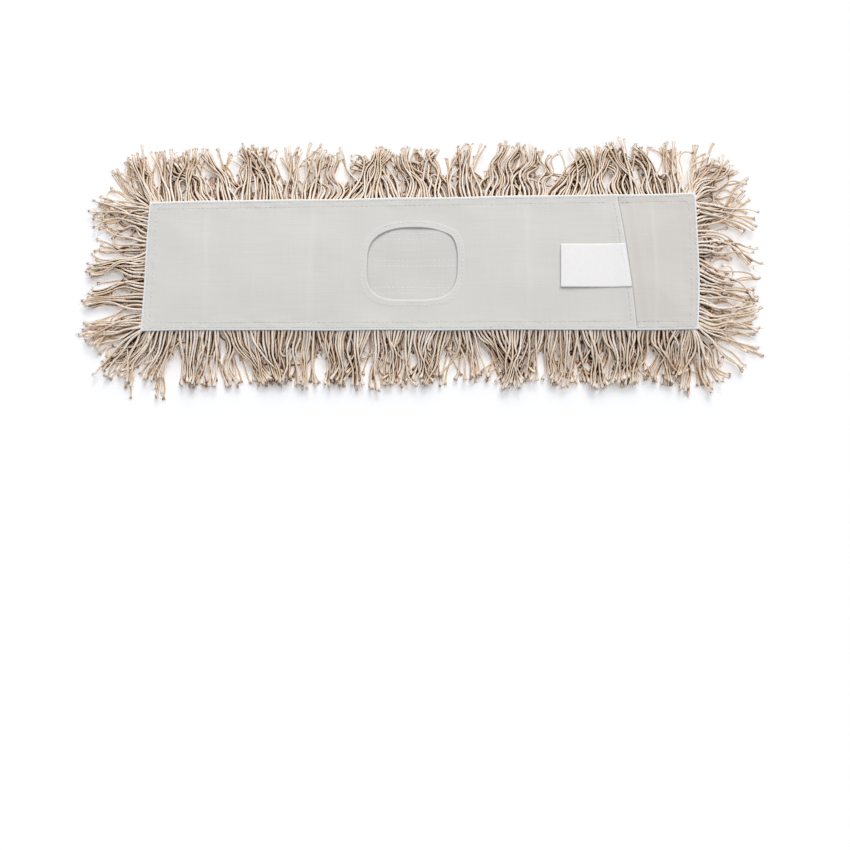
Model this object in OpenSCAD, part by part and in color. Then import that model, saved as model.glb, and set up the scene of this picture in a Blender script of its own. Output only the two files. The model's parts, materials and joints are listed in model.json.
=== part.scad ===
// Dust mop head: a canvas pocket sewn on a base cloth, yarn rows below it and a yarn fringe all round.
// Millimetres. +X runs along the length, -Y is the front, +Z is up, and the yarn rests on z = 0.

/* [Canvas pocket] */
// Length of the pocket along X
pocket_l = 635; // [580:1:700]
// Width of the pocket along Y
pocket_w = 156; // [148:1:180]
// Thickness of one layer of canvas
cloth_t = 1; // [0.7:0.1:1.4]
// Clear height inside the pocket, where the frame's plate slides in
pocket_gap = 5; // [4.5:0.5:9]
// Width of the flat sewn hem round the pocket
hem_w = 9; // [8.5:0.5:12]
// Width over which the cover rises from the hem to its crown
slope_w = 12; // [9:0.5:14]

/* [Handle opening] */
// Length of the opening along X
opening_l = 105; // [85:1:130]
// Width of the opening along Y
opening_w = 86; // [80:1:90]
// Radius of the opening's corners
opening_r = 38; // [25:1:40]
// Place of the opening's centre along X
opening_x = -10; // [-40:1:40]
// Place of the opening's centre along Y
opening_y = -0.5; // [-3:0.5:3]
// Width of the folded hem round the opening
rim_w = 7; // [5:0.5:8]
// Height of that folded hem above the cover
rim_t = 0.6; // [0.4:0.1:1]

/* [Lap seam] */
// Place of the main panel's folded edge along X, at the middle of the width
lap_x = 237; // [200:1:245]
// Slant of the folded edge from the Y axis, in degrees
lap_angle = 7.8; // [0:0.1:12]
// How far the end panel runs on below the main panel
lap_under = 16; // [10:1:24]
// Distance from the folded edge to its stitching
lap_stitch = 5; // [4:0.5:6]

/* [Label] */
// Length of the label from its free end to the folded edge
label_l = 77; // [50:1:90]
// Width of the label along Y
label_w = 50; // [30:1:60]
// Place of the label's middle along Y
label_y = -5.5; // [-12:0.5:12]
// Thickness of the label's cloth
label_t = 0.5; // [0.4:0.1:0.8]
// Distance from the folded edge to the line where the label flips
label_hinge = 8; // [7.5:0.5:10]

/* [Thread] */
// Width of a sewn thread
thread_w = 0.5; // [0.3:0.1:0.8]
// Height of a sewn thread above the cloth
thread_t = 0.35; // [0.2:0.05:0.45]
// Distance of the outer hem stitching from the cloth's edge
hem_stitch_out = 2; // [1.5:0.5:3.5]
// Distance of the inner hem stitching from the cloth's edge
hem_stitch_in = 7.8; // [6:0.2:8]
// Distance between the two lines of stitching that hold a yarn row
row_stitch_gap = 6.7; // [5:0.1:7.5]

/* [Fringe] */
// How far the fringe reaches past the cloth's edge
fringe_reach = 70; // [55:1:85]
// How much shorter the shortest clumps are
reach_vary = 9; // [0:1:14]
// Least distance from one clump of strands to the next
clump_pitch = 12.6; // [12.5:0.1:20]
// Width of a clump where it leaves the seam
clump_root_w = 10.4; // [6:0.2:10.8]
// Width of a clump halfway along its strands
clump_w = 9.4; // [6:0.2:9.8]
// Width of a clump at its tip
clump_tip_w = 5.6; // [3:0.2:7]
// Height of a clump of strands
clump_h = 4; // [2.4:0.2:5]
// How far the clumps sway to the side
sway = 2.8; // [0:0.1:3]
// Length along the seam after which the sway repeats
sway_l = 60; // [60:1:120]
// Radius of the gathered yarn head along the seam
bead_r = 1.5; // [1.4:0.1:1.8]

/* [Corner tufts] */
// Strands in a corner tuft
tuft_n = 7; // [3:1:7]
// Width of a strand of yarn
strand_w = 3.1; // [2.4:0.1:3.2]
// Height of a strand of yarn
strand_h = 2.4; // [1.8:0.1:2.6]
// How much wider a frayed strand end is
fray = 1.2; // [1:0.05:1.25]
// Angle of the outer strands from the corner's diagonal, in degrees
tuft_fan = 30; // [20:1:32]
// Width of a tuft's strands where they are gathered
tuft_root_w = 1; // [0.8:0.1:1.1]
// Length of seam that each side of a corner leaves to its tuft
tuft_l = 8; // [7:0.5:14]

/* [Yarn rows] */
// Height of the yarn below the base cloth
pile_h = 17; // [13:0.5:22]
// Number of sewn yarn rows
row_n = 5; // [4:1:5]
// Distance from the hem's inner edge to the outer rows
row_inset = 5; // [4.5:0.5:8]
// Distance from the cloth's end to the end of a row
row_end = 12; // [10:1:30]
// Distance from one lock of yarn to the next
lock_pitch = 26.4; // [24:0.2:40]
// Width of a lock of yarn
lock_w = 15; // [8:0.5:16]
// Height of a lock of yarn
lock_h = 8; // [5:0.5:10]
// Width of the sewn head of a row
head_w = 8; // [7:0.5:8.5]
// Height of the sewn head of a row
head_t = 3; // [2.6:0.2:4]

/* [Hidden] */

canvas_colour = [0.83, 0.83, 0.82];
panel_colour = [0.82, 0.81, 0.80];
label_colour = [0.95, 0.95, 0.95];
thread_colour = [0.93, 0.93, 0.92];
fringe_colour = [0.76, 0.69, 0.60];
pile_colour = [0.74, 0.66, 0.55];

// Gap between the cloth's edge and a yarn head, so that the fringe can swing
seam_clear = 0.3;
// Gap that keeps two sewn pieces from touching
clear = 0.3;
// Overlap that makes two shapes of one piece a single solid
sink = 1;
// Side of the block that cuts the panels along the lap
cut_block = 2 * pocket_l;

// Heights of the layers
pocket_z = pile_h + cloth_t;
hem_z = pocket_z + cloth_t;
panel_gap = pocket_gap;
main_gap = pocket_gap + cloth_t;
crown_z = pocket_z + main_gap + cloth_t;
seam_z = pocket_z;

// Half width of the cover's flat crown
flat_y = pocket_w / 2 - hem_w - slope_w;

// Underside of the label's free part
label_low_z = crown_z + clear;

// Yarn rows across the width
row_edge = hem_w + row_inset;
row_pitch = (pocket_w - 2 * row_edge) / (row_n - 1);
row_l = pocket_l - 2 * row_end;
// Clearance of the outer locks from a fringe that hangs down
hang_clear = 4;
lock_reach_in = row_pitch / 2 - sink;
lock_reach_out = row_edge - hang_clear;

// Distance of a yarn head's axis from the cloth's edge
head_out = seam_clear + bead_r;
// Distance behind a tuft's head where its strands would meet
tuft_focus = 8;
// Length of seam over which the clumps lean out to the corner
lean_l = 60;
// Lean of the last clump of a run, in degrees
lean_max = 10;
// Shares of a strand's reach at its rings, and of its height there
ring_t = [0, 0.45, 1];
ring_z = [0.94, 0.25, 0];

// Place along X of a line parallel to the folded edge, u to its left, at height y in plan
function lap_at(y, u) = lap_x - y * tan(lap_angle) - u / cos(lap_angle);
// Distance along such a line of a point at y
function lap_along(y, u) = (y + u * sin(lap_angle)) / cos(lap_angle);

// A ring of three points round a strand: flat below, with its ridge above
function ring(p, side, w, h) = [
    p - side * w / 2,
    p + side * w / 2,
    p + [0, 0, h]
];

// Triangles of one strand whose points start at a given place in the list
function strand_faces(start, rings) = concat(
    [[start, start + 1, start + 2]],
    [for (k = [0 : rings - 2]) for (j = [0 : 2])
        each side_faces(start + 3 * k + j, start + 3 * k + (j + 1) % 3)],
    [[start + 3 * rings - 1, start + 3 * rings - 2, start + 3 * rings - 3]]
);
function side_faces(a, b) = [[a, a + 3, b + 3], [a, b + 3, b]];

// A lean that starts lean_l before the end of a run and is largest there
function lean(s, run_l) =
    lean_max * sign(s) * pow(max(0, (abs(s) - run_l / 2 + lean_l) / lean_l), 2);
// A sway that fades out at both ends of a run
function side_sway(s, run_l) =
    sway * sin(360 * s / sway_l) * min(1, (run_l / 2 - abs(s)) / sway_l);
// Reach of a clump or strand, longest in the middle of its run
function reach_of(s) = fringe_reach - head_out - reach_vary * pow(sin(s * 4.7), 2);

// Rings of yarn that leaves the head at x, turned by angle from -Y, and falls to z = 0
function strand(x, angle, reach, bend, widths, h) = [
    for (k = [0 : len(ring_t) - 1])
        let (
            t = ring_t[k],
            out = [sin(angle), -cos(angle), 0],
            side = [cos(angle), sin(angle), 0],
            middle = [x, 0, seam_z * ring_z[k]] + out * reach * t + side * bend * sin(90 * t)
        )
        ring(middle, side, widths[k], k == 0 ? min(h, bead_r) : h)
];

// Rings of a lock of yarn that leaves the row's head at x, to +Y or -Y, and lies on z = 0
function lock(x, to, reach, angle) = [
    for (k = [0 : 2])
        let (
            t = [0.12, 0.6, 1][k],
            w = [0.45, 1, 0.6][k] * lock_w,
            h = [0.25, 1, 0.35][k] * lock_h,
            z = k == 0 ? pile_h - head_t + clear : 0
        )
        ring([x + reach * t * tan(angle), to * reach * t, z], [-to, 0, 0], w, h)
];

// Strands as one solid of separate closed shells
module strands(list) {
    rings = len(list[0]);
    points = [for (s = list) for (r = s) each r];
    faces = [for (i = [0 : len(list) - 1]) each strand_faces(3 * rings * i, rings)];
    polyhedron(points, faces, convexity = 6);
}

// Place children in the frame of the folded edge, whose Y runs along it
module at_lap() {
    translate([lap_x, 0, 0]) rotate([0, 0, lap_angle]) children();
}

// Everything left of the folded edge, or right of it
module lap_side(right) {
    at_lap()
        translate([right ? 0 : -cut_block, -cut_block / 2, -sink])
            cube([cut_block, cut_block, cut_block]);
}

// A form whose long and cross sections are given as outlines
module hipped(along, across) {
    intersection() {
        rotate([90, 0, 90])
            linear_extrude(pocket_l, center = true) polygon(across);
        rotate([90, 0, 0])
            linear_extrude(pocket_w, center = true) polygon(along);
    }
}

// Section of a cover from edge to edge: hem, slope and crown
function cover_section(half, gap) = [
    [-half, 0], [half, 0], [half, cloth_t],
    [half - hem_w, cloth_t], [half - hem_w - slope_w, gap + cloth_t],
    [hem_w + slope_w - half, gap + cloth_t], [hem_w - half, cloth_t], [-half, cloth_t]
];
// Section of the hollow under it
function hollow_section(half, gap) = [
    [hem_w - half, -sink], [half - hem_w, -sink], [half - hem_w, 0],
    [half - hem_w - slope_w, gap], [hem_w + slope_w - half, gap], [hem_w - half, 0]
];

// A crowned sheet of canvas with a flat hem, the size of the whole pocket
module cover_sheet(gap) {
    translate([0, 0, pocket_z])
        difference() {
            hipped(cover_section(pocket_l / 2, gap), cover_section(pocket_w / 2, gap));
            hipped(hollow_section(pocket_l / 2, gap), hollow_section(pocket_w / 2, gap));
        }
}

// Outline of the handle opening, made larger all round by grow
module opening_outline(grow) {
    r = opening_r + grow;
    l = opening_l + 2 * grow;
    w = opening_w + 2 * grow;
    translate([opening_x, opening_y]) {
        square([l - 2 * r, w], center = true);
        square([l, w - 2 * r], center = true);
        for (sx = [-1, 1]) for (sy = [-1, 1])
            translate([sx * (l / 2 - r), sy * (w / 2 - r)]) circle(r, $fn = 64);
    }
}

// Flat ring between two outlines of the opening
module opening_ring(inner, outer, h) {
    difference() {
        linear_extrude(h) opening_outline(outer);
        translate([0, 0, -sink]) linear_extrude(h + 2 * sink) opening_outline(inner);
    }
}

// Rectangular ring of thread, inset from the cloth's edge
module thread_ring(inset) {
    linear_extrude(thread_t)
        difference() {
            square([pocket_l - 2 * inset, pocket_w - 2 * inset], center = true);
            square([pocket_l - 2 * inset - 2 * thread_w, pocket_w - 2 * inset - 2 * thread_w], center = true);
        }
}

// Bottom layer of canvas that carries the yarn rows
module base_cloth() {
    color(canvas_colour)
        translate([-pocket_l / 2, -pocket_w / 2, pile_h])
            cube([pocket_l, pocket_w, cloth_t]);
}

// Main panel of the pocket with its hemmed handle opening
module pocket_cover() {
    color(canvas_colour)
        difference() {
            union() {
                intersection() {
                    cover_sheet(main_gap);
                    lap_side(false);
                }
                translate([0, 0, crown_z - cloth_t / 2])
                    linear_extrude(cloth_t / 2 + rim_t) opening_outline(rim_w);
            }
            linear_extrude(crown_z + sink) opening_outline(0);
        }
}

// End panel, whose tongue runs on below the main panel
module end_panel() {
    color(panel_colour) {
        intersection() {
            cover_sheet(panel_gap);
            lap_side(true);
        }
        intersection() {
            at_lap()
                translate([-lap_under, -pocket_w, pocket_z + panel_gap])
                    cube([lap_under + sink, 2 * pocket_w, cloth_t]);
            translate([0, clear - flat_y, 0])
                cube([pocket_l, 2 * (flat_y - clear), crown_z]);
        }
    }
}

// Outline of the label between two lines parallel to the folded edge, or from its free end
module label_outline(u_left, u_right) {
    low = label_y - label_w / 2;
    high = label_y + label_w / 2;
    left = lap_x - label_l;
    free = u_left == undef;
    polygon([
        [free ? left : lap_at(low, u_left), low],
        [lap_at(low, u_right), low],
        [lap_at(high, u_right), high],
        [free ? left : lap_at(high, u_left), high]
    ]);
}

// Free part of the label, which flips about the middle of its edge
module label_tag() {
    color(label_colour)
        translate([0, 0, label_low_z])
            linear_extrude(label_t) label_outline(undef, label_hinge);
}

// Margin of the label that is sewn down along the folded edge
module label_margin() {
    color(label_colour)
        translate([0, 0, crown_z])
            linear_extrude(label_t) label_outline(label_hinge - sink, clear);
}

// Two rows of stitching round the hem
module hem_thread() {
    color(thread_colour)
        translate([0, 0, hem_z]) {
            thread_ring(hem_stitch_out);
            thread_ring(hem_stitch_in);
        }
}

// Stitching that holds the folded hem of the opening
module opening_thread() {
    color(thread_colour)
        translate([0, 0, crown_z + rim_t])
            opening_ring(rim_w - hem_stitch_out - thread_w, rim_w - hem_stitch_out, thread_t);
}

// One straight stretch of the lap stitching, between two places across the width
module lap_stretch(from_y, to_y, z) {
    first = lap_along(from_y, lap_stitch);
    last = lap_along(to_y, lap_stitch);
    at_lap()
        translate([-lap_stitch - thread_w / 2, first, z])
            cube([thread_w, last - first, thread_t]);
}

// Stitching of the lap, which runs over the label's margin
module lap_thread() {
    over = label_w / 2 + clear;
    under = label_w / 2 - clear;
    color(thread_colour) {
        lap_stretch(clear - flat_y, label_y - over, crown_z);
        lap_stretch(label_y - under, label_y + under, crown_z + label_t);
        lap_stretch(label_y + over, flat_y - clear, crown_z);
    }
}

// Pairs of thread lines on the base cloth that hold the yarn rows
module row_thread() {
    color(thread_colour)
        for (i = [0 : row_n - 1]) for (to = [-1, 1])
            translate([
                hem_w + clear - pocket_l / 2,
                row_y(i) + to * row_stitch_gap / 2 - thread_w / 2,
                pocket_z
            ])
                cube([pocket_l - 2 * hem_w - 2 * clear, thread_w, thread_t]);
}

function row_y(i) = (i - (row_n - 1) / 2) * row_pitch;

// Gathered head of yarn along X on the swing axis
module yarn_head(l) {
    translate([-l / 2, 0, seam_z]) rotate([0, 90, 0]) cylinder(h = l, r = bead_r, $fn = 8);
}

// Fringe along one straight seam: a gathered head and its clumps of strands, towards -Y
module fringe_run(run_l) {
    count = floor(run_l / clump_pitch);
    widths = [clump_root_w, clump_w, clump_tip_w];
    color(fringe_colour) {
        yarn_head(run_l);
        strands([
            for (i = [0 : count - 1])
                let (s = (i - (count - 1) / 2) * run_l / count)
                strand(s, lean(s, run_l), reach_of(s), side_sway(s, run_l), widths, clump_h)
        ]);
    }
}

// Place a fringe on the front seam, or turned to another one
module on_seam(turn, half_w) {
    rotate([0, 0, turn]) translate([0, -half_w - head_out, 0]) children();
}

module fringe_front() { on_seam(0, pocket_w / 2) fringe_run(pocket_l - 2 * tuft_l); }
module fringe_back() { on_seam(180, pocket_w / 2) fringe_run(pocket_l - 2 * tuft_l); }
module fringe_left() { on_seam(-90, pocket_l / 2) fringe_run(pocket_w - 2 * tuft_l); }
module fringe_right() { on_seam(90, pocket_l / 2) fringe_run(pocket_w - 2 * tuft_l); }

// Fan of strands at one corner, whose head lies across the corner's diagonal
module corner_tuft(sx, sy) {
    head_l = 2 * tuft_focus * tan(tuft_fan) + 2 * tuft_root_w;
    turn = atan2(sx, -sy);
    widths = [tuft_root_w, strand_w, strand_w * fray];
    color(fringe_colour)
        translate([sx * pocket_l / 2, sy * pocket_w / 2, 0])
            rotate([0, 0, turn])
                translate([0, -head_out, 0]) {
                    yarn_head(head_l);
                    strands([
                        for (i = [0 : tuft_n - 1])
                            let (a = tuft_fan * (2 * i / (tuft_n - 1) - 1))
                            strand(tuft_focus * tan(a), a, reach_of(a), 0, widths, strand_h)
                    ]);
                }
}

module tuft_front_left() { corner_tuft(-1, -1); }
module tuft_front_right() { corner_tuft(1, -1); }
module tuft_back_left() { corner_tuft(-1, 1); }
module tuft_back_right() { corner_tuft(1, 1); }

// Row of looped yarn under the base cloth: a sewn head with locks to both sides
module yarn_row(i) {
    count = floor(row_l / lock_pitch);
    color(pile_colour)
        translate([0, row_y(i), 0]) {
            translate([-row_l / 2, -head_w / 2, pile_h - head_t]) cube([row_l, head_w, head_t]);
            strands([
                for (to = [-1, 1]) for (k = [0 : count - 1])
                    let (
                        x = (k - count / 2 + 0.5 + to / 4) * lock_pitch,
                        outer = (i == 0 && to < 0) || (i == row_n - 1 && to > 0),
                        most = outer ? lock_reach_out : lock_reach_in,
                        reach = most * (1 - 0.12 * pow(sin(77 * k + 40 * i), 2))
                    )
                    lock(x, to, reach, 14 * sin(113 * k + 71 * i))
            ]);
        }
}

module yarn_row_1() { yarn_row(0); }
module yarn_row_2() { yarn_row(1); }
module yarn_row_3() { yarn_row(2); }
module yarn_row_4() { yarn_row(3); }
module yarn_row_5() { yarn_row(4); }

base_cloth();
pocket_cover();
end_panel();
label_tag();
label_margin();
hem_thread();
opening_thread();
lap_thread();
row_thread();
fringe_front();
fringe_back();
fringe_left();
fringe_right();
tuft_front_left();
tuft_front_right();
tuft_back_left();
tuft_back_right();
yarn_row_1();
yarn_row_2();
yarn_row_3();
yarn_row_4();
yarn_row_5();
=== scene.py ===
"""Looks of a cotton dust mop head: canvas pocket, sewn seams, blank label, yarn fringe and yarn pile."""
import json
import math
from collections import namedtuple

import bpy
import numpy as np
from mathutils import Matrix, Vector


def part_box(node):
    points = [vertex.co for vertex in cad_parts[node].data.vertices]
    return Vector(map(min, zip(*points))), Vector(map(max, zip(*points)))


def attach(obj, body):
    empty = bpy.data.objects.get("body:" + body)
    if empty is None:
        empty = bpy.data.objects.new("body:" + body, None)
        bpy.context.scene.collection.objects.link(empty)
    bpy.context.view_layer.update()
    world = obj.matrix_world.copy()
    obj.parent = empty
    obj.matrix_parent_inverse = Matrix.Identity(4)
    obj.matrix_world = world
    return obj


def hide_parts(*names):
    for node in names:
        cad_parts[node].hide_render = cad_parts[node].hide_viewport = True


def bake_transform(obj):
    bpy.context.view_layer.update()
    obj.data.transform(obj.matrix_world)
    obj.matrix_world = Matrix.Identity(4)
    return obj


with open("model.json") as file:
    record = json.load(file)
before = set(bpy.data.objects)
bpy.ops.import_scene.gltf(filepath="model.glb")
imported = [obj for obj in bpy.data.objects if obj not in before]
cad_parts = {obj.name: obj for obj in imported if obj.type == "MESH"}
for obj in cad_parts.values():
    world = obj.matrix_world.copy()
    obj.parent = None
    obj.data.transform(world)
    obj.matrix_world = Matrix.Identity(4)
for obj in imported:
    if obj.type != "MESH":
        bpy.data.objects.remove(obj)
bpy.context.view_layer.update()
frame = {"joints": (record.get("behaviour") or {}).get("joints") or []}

MM = 0.001
SEED = 24
JOINTS = {joint["name"]: joint for joint in frame["joints"]}

# Sizes taken from the frame, in millimetres
BASE_LOW, BASE_HIGH = (np.array(corner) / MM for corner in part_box("base_cloth"))
HALF_L, HALF_W = BASE_HIGH[0], BASE_HIGH[1]
BASE_BOTTOM, BASE_TOP = BASE_LOW[2], BASE_HIGH[2]
RIM_LOW, RIM_HIGH = (np.array(corner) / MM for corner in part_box("opening_thread"))
COVER_TOP = RIM_LOW[2]
LABEL_LOW, LABEL_HIGH = (np.array(corner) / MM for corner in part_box("label_tag"))
MARGIN_HIGH = np.array(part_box("label_margin")[1]) / MM
FRINGE_REACH = -np.array(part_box("fringe_front")[0])[1] / MM - HALF_W
LABEL_AXIS = np.array(JOINTS["label_flip"]["axis"])
LAP_ANGLE = math.atan2(-LABEL_AXIS[0], LABEL_AXIS[1])

# Canvas, in millimetres
CLOTH = 0.9
HEM = 8.5
HEM_STITCHES = (3.2, 9.4)
HEM_TOP = BASE_TOP + 2.1
# Distance from the hem over which the cover rises, how high, and how far it sinks at the opening
SLOPE = 60.0
CROWN_TOP = COVER_TOP - 3.1
SAG = 1.7
# Handle opening: how far outside it the frame's stitches run, and the width of its hem
RIM_STITCH = 5.0
RIM = 7.5
OPENING_CENTRE = (RIM_LOW[:2] + RIM_HIGH[:2]) / 2
OPENING_HALF = (RIM_HIGH[:2] - RIM_LOW[:2]) / 2 - RIM_STITCH
# Lap seam: its stitches' distance from the fold, the cloth folded under, and the end panel's length below it
LAP_STITCH = 5.5
LAP_UNDER = 16.0
# Places along X of the creases across the canvas
CREASES = (-248, -127, 122, 267)
# How far each corner of the canvas lies from a true rectangle: back left, back right, front right, front left
CORNER_DRIFT = ((2.8, -1.5), (1.7, 4.3), (-2.3, -3.1), (-2.1, 0.5))
RIGHT_BULGE = 2.6

# Yarn: radius, depth of the fringe's roots in the seam, and the pile's rows of paired stitch lines
YARN_R = 1.33
ROOT_DEPTH = 6.0
ROW_Y = (-64, -32, 0, 32, 64)
ROW_GAP = 6.7
# Added to lengths that are divided by
TINY = 1e-9


def rng_for(number):
    """A random source of its own for each piece, so that a change to one leaves the others as they are."""
    return np.random.default_rng(SEED * 1000 + number)


def smoothstep(low, high, value):
    """Smooth rise from 0 at low to 1 at high, or a fall where low is the greater."""
    t = np.clip((np.asarray(value, float) - low) / (high - low), 0, 1)
    return t * t * (3 - 2 * t)


def waves(rng, count, shortest, longest):
    """A smooth random field of x and y, about -1 to 1, from a few plane waves."""
    angle = rng.uniform(0, math.tau, count)
    length = rng.uniform(shortest, longest, count)
    phase = rng.uniform(0, math.tau, count)
    kx = np.cos(angle) * math.tau / length
    ky = np.sin(angle) * math.tau / length

    def field(x, y):
        x, y = np.asarray(x, float)[..., None], np.asarray(y, float)[..., None]
        return np.sin(kx * x + ky * y + phase).sum(-1) / math.sqrt(count)

    return field


def drift(x, y):
    """Moves points of the true rectangle to the slightly uneven one that was sewn."""
    u = np.clip(np.asarray(x) / HALF_L, -1, 1) / 2 + 0.5
    v = np.clip(np.asarray(y) / HALF_W, -1, 1) / 2 + 0.5
    weights = ((1 - u) * v, u * v, u * (1 - v), (1 - u) * (1 - v))
    dx = sum(w * c[0] for w, c in zip(weights, CORNER_DRIFT))
    dy = sum(w * c[1] for w, c in zip(weights, CORNER_DRIFT))
    return x + dx + RIGHT_BULGE * 4 * v * (1 - v) * smoothstep(0.7, 1, u), y + dy


def lap_at(y):
    """Place along X of the main panel's folded edge."""
    return MARGIN_HIGH[0] - (y - LABEL_LOW[1]) * math.tan(LAP_ANGLE)


# Mesh helpers


def add_piece(name, verts_mm, faces, material, loop_uv=None, tint=None):
    """A mesh object from points in millimetres, with its material, UVs and per-point tint."""
    mesh = bpy.data.meshes.new(name)
    mesh.from_pydata((np.asarray(verts_mm) * MM).tolist(), [], faces)
    mesh.update()
    if loop_uv is not None:
        layer = mesh.uv_layers.new(name="UVMap")
        layer.data.foreach_set("uv", np.asarray(loop_uv, np.float32).ravel())
    if tint is not None:
        attribute = mesh.attributes.new("tint", "FLOAT", "POINT")
        attribute.data.foreach_set("value", np.asarray(tint, np.float32))
    mesh.materials.append(material)
    mesh.polygons.foreach_set("use_smooth", [True] * len(mesh.polygons))
    piece = bpy.data.objects.new(name, mesh)
    bpy.context.scene.collection.objects.link(piece)
    return piece


def shell(top, bottom, quads, values):
    """Closed sheet between two like grids, with walls along every open edge: points, faces, point values."""
    count = len(top)
    edges = np.concatenate([quads[:, [i, (i + 1) % 4]] for i in range(4)])
    key = np.sort(edges, axis=1)
    _, where, times = np.unique(key[:, 0] * count + key[:, 1], return_index=True, return_counts=True)
    rim = edges[where[times == 1]]
    walls = np.stack([rim[:, 1], rim[:, 0], rim[:, 0] + count, rim[:, 1] + count], axis=1)
    faces = np.concatenate([quads, quads[:, ::-1] + count, walls])
    used = np.unique(faces)
    renumber = np.full(2 * count, -1)
    renumber[used] = np.arange(len(used))
    return np.concatenate([top, bottom])[used], renumber[faces].tolist(), values[used]


def grid_quads(nx, ny):
    """Quads of an nx by ny grid of points, x running fastest, facing up."""
    i = (np.arange(ny - 1)[:, None] * nx + np.arange(nx - 1)).ravel()
    return np.stack([i, i + 1, i + nx + 1, i + nx], axis=1)


def ring_quads(rings, sides, closed=False):
    """Quads between rings of points, and from the last ring to the first one where they close up."""
    i, j = np.meshgrid(np.arange(rings if closed else rings - 1), np.arange(sides), indexing="ij")
    here, after, beside = i * sides, (i + 1) % rings * sides, (j + 1) % sides
    return np.stack([here + j, here + beside, after + beside, after + j], axis=-1).reshape(-1, 4)


def spaced(low, high, fine, fine_step, step):
    """Places from low to high, close together within fine of both ends."""
    edge = np.arange(0, fine, fine_step)
    middle = np.linspace(low + fine, high - fine, int((high - low - 2 * fine) / step) + 1)
    return np.concatenate([low + edge, middle, (high - edge)[::-1]])


# Materials


def linear(r, g, b):
    """A colour given as it looks on screen, 0 to 255, as the linear one that shaders take."""
    return (*(((c / 255 + 0.055) / 1.055) ** 2.4 for c in (r, g, b)), 1)


class Tree:
    """Node tree of a material or of the world, with shorthands for the nodes that are used here."""

    def __init__(self, owner):
        owner.use_nodes = True
        self.nodes, self.links = owner.node_tree.nodes, owner.node_tree.links

    def feed(self, socket, value):
        """Gives a socket a node's output, or else a number or a colour of its own."""
        if isinstance(value, bpy.types.NodeSocket):
            self.links.new(value, socket)
        else:
            socket.default_value = value

    def node(self, kind, output, *values, **named):
        """An output of a new node, whose inputs are fed in their order or by name."""
        node = self.nodes.new(f"ShaderNode{kind}")
        for key, value in (*enumerate(values), *named.items()):
            self.feed(node.inputs[key], value)
        return node.outputs[output]

    def op(self, operation, first, second=0):
        """Outcome of an operation on two values."""
        node = self.nodes.new("ShaderNodeMath")
        node.operation = operation
        self.feed(node.inputs[0], first)
        self.feed(node.inputs[1], second)
        return node.outputs["Value"]

    def total(self, *terms):
        """Sum of values, each times its weight."""
        total = 0
        for value, weight in terms:
            total = self.op("ADD", total, self.op("MULTIPLY", value, weight))
        return total

    def tint(self):
        """The tint that each point of a mesh carries."""
        node = self.nodes.new("ShaderNodeAttribute")
        node.attribute_name = "tint"
        return node.outputs["Fac"]

    def noise(self, scale, stretch=(1, 1, 1), detail=3):
        """A noise texture over the piece, stretched along its axes."""
        mapped = self.node("Mapping", "Vector", Vector=self.node("TexCoord", "Object"), Scale=stretch)
        return self.node("TexNoise", "Fac", Vector=mapped, Scale=scale, Detail=detail)

    def ramp(self, factor, dark, light, low=0.3, high=0.7, middle=None):
        """A ramp from a dark to a light colour, by way of a middle one if it is given."""
        node = self.nodes.new("ShaderNodeValToRGB")
        first, last = node.color_ramp.elements
        first.position, last.position = low, high
        first.color, last.color = dark, light
        if middle:
            node.color_ramp.elements.new((low + high) / 2).color = middle
        self.feed(node.inputs["Fac"], factor)
        return node.outputs["Color"]

    def mix(self, factor, first, second, blend="MIX"):
        """A mix of two colours, by a factor that is held between 0 and 1."""
        node = self.nodes.new("ShaderNodeMix")
        node.data_type, node.blend_type = "RGBA", blend
        for name, value in (("Factor", factor), ("A", first), ("B", second)):
            self.feed(node.inputs[name], value)
        return node.outputs["Result"]

    def bump(self, shader, height, distance, strength):
        """Gives a shader fine relief from a height."""
        relief = self.node("Bump", "Normal", Height=height, Distance=distance, Strength=strength)
        self.feed(shader["Normal"], relief)


def material(name, colour, roughness, sheen):
    """A cloth material, with its node tree and its shader's inputs, to be given its own texture."""
    made = bpy.data.materials.new(name)
    tree = Tree(made)
    shader = tree.nodes["Principled BSDF"].inputs
    values = {"Base Color": colour, "Roughness": roughness, "Specular IOR Level": 0.25,
              "Sheen Weight": sheen, "Sheen Roughness": 0.6}
    for socket, value in values.items():
        shader[socket].default_value = value
    return made, tree, shader


# Painted colours of the canvas: a painted highlight along its turned edges, folds and creases, and painted
# shade where the lap and the opening's lip cast shade
FOLD_HIGHLIGHT_COLOUR = linear(236, 239, 244)
SHADE_COLOUR = linear(118, 116, 110)


def canvas_material(name, dark, light):
    """Plain-woven canvas: uneven threads both ways, fine nap and faint stains, with painted highlight and
    painted shade laid on by each point's tint.
    """
    made, tree, shader = material(name, light, 0.92, 0.15)
    warp, weft = tree.noise(60, (0.4, 20, 1)), tree.noise(60, (20, 0.4, 1))
    nap, cloud = tree.noise(1400), tree.noise(14)
    woven = tree.ramp(tree.total((warp, 0.45), (weft, 0.25), (cloud, 0.3)), dark, light)
    # Painted light carried by each point's tint: above 0 it mixes in the painted highlight, below 0 the
    # painted shade
    edge = tree.tint()
    highlighted_canvas = tree.mix(edge, woven, FOLD_HIGHLIGHT_COLOUR)
    tree.feed(shader["Base Color"], tree.mix(tree.op("MULTIPLY", edge, -1), highlighted_canvas, SHADE_COLOUR))
    tree.bump(shader, tree.total((warp, 0.45), (weft, 0.25), (nap, 0.4)), 0.0004, 0.2)
    return made


# Painted shade that the yarn's colour is multiplied by, from its ambient occlusion: deep between other
# strands, half sunk, and in the open
CREVICE_SHADE = (0.08, 0.016, 0.002, 1)
FLANK_SHADE = (0.62, 0.38, 0.19, 1)
OPEN = (1, 1, 1, 1)
# How far round a point its hollow is looked for, in metres
HOLLOW_REACH = 0.014
# Plies of the yarn, and millimetres along it for one turn of them
PLIES = 2
PLY_TURN = 5.0


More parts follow.
